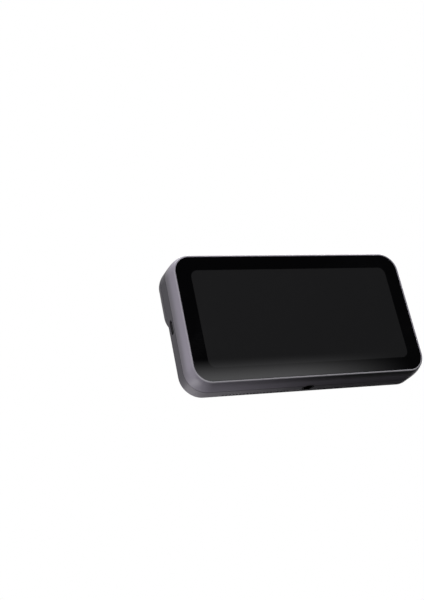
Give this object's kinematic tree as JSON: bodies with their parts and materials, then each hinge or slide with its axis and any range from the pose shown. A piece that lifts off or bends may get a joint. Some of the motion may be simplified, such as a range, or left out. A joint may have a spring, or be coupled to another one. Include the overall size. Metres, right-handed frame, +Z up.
{
  "type": "three-d scanner",
  "caption": "Hand-held 3D scanner: rounded slab with a display on one face and, on the other, a raised sensor head with a black window and a bowed lower edge, over a plain grip; side keys.",
  "frame": {"origin": "centre of the tripod thread's mouth in the flat bottom face", "axes": "+Z up as the scanner stands on its bottom edge, +X across its width, to the right of a person who looks at the sensor window, +Y out of the display"},
  "size_m": [0.1747, 0.0292, 0.093],
  "materials": {
    "front_bezel": "satin pearl grey paint",
    "cover_glass": "black glass over a dark display",
    "display_gasket": "matte",
    "display_panel": "dark display, off",
    "display_plate": "bare sheet",
    "plate_screws": "zinc plated",
    "mid_frame": "fine satin, dark grey",
    "tripod_insert": "turned",
    "grip_cover": "fine satin, grey",
    "head_housing": "fine satin, dark grey",
    "sensor_window": "black window that passes infrared light",
    "window_gasket": "matte",
    "window_mask": "black print film",
    "optical_bench": "black anodised casting",
    "bench_screws": "zinc plated",
    "left_camera": "black",
    "right_camera": "black",
    "left_lens": "coated lens",
    "right_lens": "coated lens",
    "pattern_projector": "black",
    "projector_frame": "grey",
    "color_camera": "black",
    "color_lens": "coated lens",
    "range_sensor_board": "solder mask",
    "range_sensors": "black",
    "corner_emitters": "black",
    "left_led_board": "solder mask",
    "right_led_board": "solder mask",
    "infrared_leds": "smoked resin",
    "fill_light_board": "solder mask",
    "fill_lights": "yellow phosphor resin",
    "main_board": "solder mask",
    "board_screws": "zinc plated",
    "heat_sink": "bare fins",
    "battery_pack": "dark pouch foil",
    "fan_housing": "black",
    "fan_shaft": "ground",
    "fan_rotor": "black",
    "speaker": "black",
    "usb_port": "pressed shell",
    "port_board": "solder mask",
    "scan_button": "fine satin, dark grey",
    "power_button": "fine satin, dark grey",
    "key_switches": "black",
    "key_board": "solder mask",
    "wifi_antenna": "etched strip",
    "display_cable": "polyimide film",
    "sensor_cable": "polyimide film"
  },
  "bodies": {
    "scanner_body": {"front_bezel": "front_bezel", "cover_glass": "cover_glass", "display_gasket": "display_gasket", "display_panel": "display_panel", "display_plate": "display_plate", "plate_screws": "plate_screws", "mid_frame": "mid_frame", "tripod_insert": "tripod_insert", "grip_cover": "grip_cover", "head_housing": "head_housing", "sensor_window": "sensor_window", "window_gasket": "window_gasket", "window_mask": "window_mask", "optical_bench": "optical_bench", "bench_screws": "bench_screws", "left_camera": "left_camera", "right_camera": "right_camera", "left_lens": "left_lens", "right_lens": "right_lens", "pattern_projector": "pattern_projector", "projector_frame": "projector_frame", "color_camera": "color_camera", "color_lens": "color_lens", "range_sensor_board": "range_sensor_board", "range_sensors": "range_sensors", "corner_emitters": "corner_emitters", "left_led_board": "left_led_board", "right_led_board": "right_led_board", "infrared_leds": "infrared_leds", "fill_light_board": "fill_light_board", "fill_lights": "fill_lights", "main_board": "main_board", "board_screws": "board_screws", "heat_sink": "heat_sink", "battery_pack": "battery_pack", "fan_housing": "fan_housing", "fan_shaft": "fan_shaft", "speaker": "speaker", "usb_port": "usb_port", "port_board": "port_board", "key_switches": "key_switches", "key_board": "key_board", "wifi_antenna": "wifi_antenna", "display_cable": "display_cable", "sensor_cable": "sensor_cable"},
    "scan_button": {"scan_button": "scan_button"},
    "power_button": {"power_button": "power_button"},
    "fan_rotor": {"fan_rotor": "fan_rotor"}
  },
  "joints": [
    {"name": "scan_button_press", "type": "slide", "parent": "scanner_body", "child": "scan_button", "axis": [1, 0, 0], "range_m": [0, 0.00035], "stiffness_N_per_m": 2000},
    {"name": "power_button_press", "type": "slide", "parent": "scanner_body", "child": "power_button", "axis": [1, 0, 0], "range_m": [0, 0.00035], "stiffness_N_per_m": 2000},
    {"name": "fan_spin", "type": "hinge", "parent": "scanner_body", "child": "fan_rotor", "pos_m": [-0.035, 0, 0.026], "axis": [0, 1, 0], "continuous": true}
  ]
}
